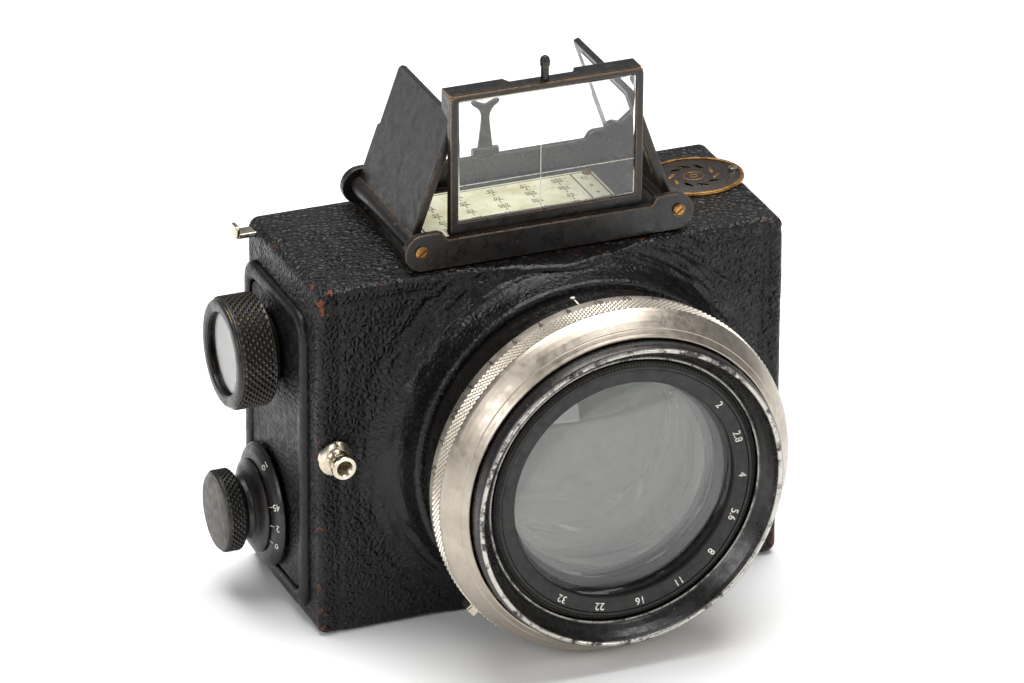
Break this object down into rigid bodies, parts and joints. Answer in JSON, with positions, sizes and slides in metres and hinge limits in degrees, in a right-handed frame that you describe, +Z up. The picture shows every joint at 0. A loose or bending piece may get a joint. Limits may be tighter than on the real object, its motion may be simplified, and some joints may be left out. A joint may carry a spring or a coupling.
{
  "type": "press camera",
  "caption": "Leather-covered plate camera with a very large fast lens, focal-plane shutter knobs at the side, sliding focusing screen and a folding optical finder on top.",
  "frame": {"origin": "centre of the tripod socket's mouth, on the plane of the underside", "axes": "+Z up, the lens looks along -Y, +X to the right seen from the front"},
  "size_m": [0.1316, 0.0871, 0.1356],
  "materials": {
    "leather": "pebbled, worn at the edges",
    "casing_alloy": "blackened inside",
    "black_lacquer": "satin, brassed at the edges",
    "nickel": "satin nickel plate",
    "brass": "aged",
    "steel": "bright",
    "optical_glass": "polished",
    "ground_glass": "frosted",
    "mirror_glass": "polished",
    "blind_cloth": "rubbered cloth",
    "cream_card": "enamelled plate",
    "silver_dial": "turned, dull"
  },
  "bodies": {
    "body": {"body_casing": "casing_alloy", "body_leather": "leather", "lens_turret": "leather", "side_rim": "black_lacquer", "side_panel": "leather", "back_frame": "leather", "plate_rails": "black_lacquer", "film_gate": "black_lacquer", "tripod_bush": "brass", "release_socket": "nickel", "plunger_spring": "steel", "lens_flange": "brass", "lens_flange_screws": "steel", "outer_barrel": "black_lacquer", "shutter_side_plates": "steel", "shutter_blind": "blind_cloth", "tension_dial": "black_lacquer", "finder_base": "black_lacquer", "finder_front_rail": "black_lacquer", "finder_rear_rail": "black_lacquer", "finder_hinge_pins": "brass", "exposure_table": "cream_card", "finder_lens_frame": "black_lacquer", "finder_lens": "optical_glass", "front_sight_pin": "nickel", "name_plate": "brass", "trim_screws": "brass"},
    "release_plunger": {"release_plunger": "nickel"},
    "back_latch": {"back_latch": "nickel"},
    "screen": {"screen_frame": "black_lacquer", "ground_glass": "ground_glass"},
    "focus_ring": {"focus_ring": "nickel", "focus_stop_tab": "nickel"},
    "lens_barrel": {"inner_barrel": "brass", "retaining_ring": "black_lacquer", "name_ring": "black_lacquer", "front_element": "optical_glass", "second_element": "optical_glass", "third_element": "optical_glass", "rear_element": "optical_glass"},
    "aperture_ring": {"aperture_ring": "black_lacquer"},
    "winding_knob": {"winding_knob": "black_lacquer", "knob_bezel": "black_lacquer", "knob_dial": "silver_dial", "knob_window": "optical_glass", "winding_shaft": "steel"},
    "upper_roller": {"upper_roller": "steel"},
    "lower_roller": {"lower_roller": "steel"},
    "tension_knob": {"tension_knob": "black_lacquer", "tension_shaft": "steel"},
    "left_wing": {"left_wing": "black_lacquer"},
    "right_wing": {"right_wing": "black_lacquer", "wing_mirror": "mirror_glass"},
    "rear_sight": {"rear_sight": "black_lacquer"},
    "iris_blade_1": {"iris_blade_1": "steel"},
    "iris_blade_2": {"iris_blade_2": "steel"},
    "iris_blade_3": {"iris_blade_3": "steel"},
    "iris_blade_4": {"iris_blade_4": "steel"},
    "iris_blade_5": {"iris_blade_5": "steel"},
    "iris_blade_6": {"iris_blade_6": "steel"}
  },
  "joints": [
    {"name": "focus_turn", "type": "hinge", "parent": "body", "child": "focus_ring", "pos_m": [0.003, -0.05, 0.044], "axis": [0, 1, 0], "range_deg": [0, 250]},
    {"name": "lens_slide", "type": "slide", "parent": "body", "child": "lens_barrel", "axis": [0, -1, 0], "range_m": [0, 0.006]},
    {"name": "aperture_turn", "type": "hinge", "parent": "lens_barrel", "child": "aperture_ring", "pos_m": [0.003, -0.058, 0.044], "axis": [0, 1, 0], "range_deg": [0, 80]},
    {"name": "winding_turn", "type": "hinge", "parent": "body", "child": "winding_knob", "pos_m": [-0.062, 0.0065, 0.062], "axis": [1, 0, 0], "range_deg": [0, 720]},
    {"name": "upper_roller_turn", "type": "hinge", "parent": "body", "child": "upper_roller", "pos_m": [0, 0.008, 0.07087], "axis": [1, 0, 0], "range_deg": [-720, 0]},
    {"name": "lower_roller_turn", "type": "hinge", "parent": "body", "child": "lower_roller", "pos_m": [0, 0.008, 0.0205], "axis": [1, 0, 0], "range_deg": [-720, 0]},
    {"name": "tension_turn", "type": "hinge", "parent": "body", "child": "tension_knob", "pos_m": [-0.068, 0.008, 0.0205], "axis": [1, 0, 0], "range_deg": [0, 120]},
    {"name": "release_press", "type": "slide", "parent": "body", "child": "release_plunger", "axis": [0, 1, 0], "range_m": [0, 0.003], "stiffness_N_per_m": 150, "springref_m": -0.001, "deforming": ["plunger_spring"]},
    {"name": "latch_slide", "type": "slide", "parent": "body", "child": "back_latch", "axis": [-1, 0, 0], "range_m": [0, 0.003]},
    {"name": "screen_slide", "type": "slide", "parent": "body", "child": "screen", "axis": [1, 0, 0], "range_m": [0, 0.096]},
    {"name": "left_wing_fold", "type": "hinge", "parent": "body", "child": "left_wing", "pos_m": [-0.032, 0, 0.0934], "axis": [0, 1, 0], "range_deg": [0, 70.6]},
    {"name": "right_wing_fold", "type": "hinge", "parent": "body", "child": "right_wing", "pos_m": [0.032, 0, 0.0934], "axis": [0, -1, 0], "range_deg": [0, 70.6]},
    {"name": "rear_sight_fold", "type": "hinge", "parent": "body", "child": "rear_sight", "pos_m": [0, 0.02, 0.0967], "axis": [1, 0, 0], "range_deg": [0, 90]},
    {"name": "blade_1_swing", "type": "hinge", "parent": "lens_barrel", "child": "iris_blade_1", "pos_m": [0.0282, -0.0403, 0.044], "axis": [0, -1, 0], "range_deg": [0, 40]},
    {"name": "blade_2_swing", "type": "hinge", "parent": "lens_barrel", "child": "iris_blade_2", "pos_m": [0.0156, -0.03984, 0.02218], "axis": [0, -1, 0], "range_deg": [0, 40]},
    {"name": "blade_3_swing", "type": "hinge", "parent": "lens_barrel", "child": "iris_blade_3", "pos_m": [-0.0096, -0.03938, 0.02218], "axis": [0, -1, 0], "range_deg": [0, 40]},
    {"name": "blade_4_swing", "type": "hinge", "parent": "lens_barrel", "child": "iris_blade_4", "pos_m": [-0.0222, -0.03892, 0.044], "axis": [0, -1, 0], "range_deg": [0, 40]},
    {"name": "blade_5_swing", "type": "hinge", "parent": "lens_barrel", "child": "iris_blade_5", "pos_m": [-0.0096, -0.03846, 0.06582], "axis": [0, -1, 0], "range_deg": [0, 40]},
    {"name": "blade_6_swing", "type": "hinge", "parent": "lens_barrel", "child": "iris_blade_6", "pos_m": [0.0156, -0.038, 0.06582], "axis": [0, -1, 0], "range_deg": [0, 40]}
  ],
  "couplings": [
    {"joint": "lens_slide", "follows": "focus_turn", "m_per_rad": 0.0013751},
    {"joint": "upper_roller_turn", "follows": "winding_turn", "ratio": -1},
    {"joint": "lower_roller_turn", "follows": "winding_turn", "ratio": -1},
    {"joint": "blade_1_swing", "follows": "aperture_turn", "ratio": 0.5},
    {"joint": "blade_2_swing", "follows": "aperture_turn", "ratio": 0.5},
    {"joint": "blade_3_swing", "follows": "aperture_turn", "ratio": 0.5},
    {"joint": "blade_4_swing", "follows": "aperture_turn", "ratio": 0.5},
    {"joint": "blade_5_swing", "follows": "aperture_turn", "ratio": 0.5},
    {"joint": "blade_6_swing", "follows": "aperture_turn", "ratio": 0.5}
  ]
}
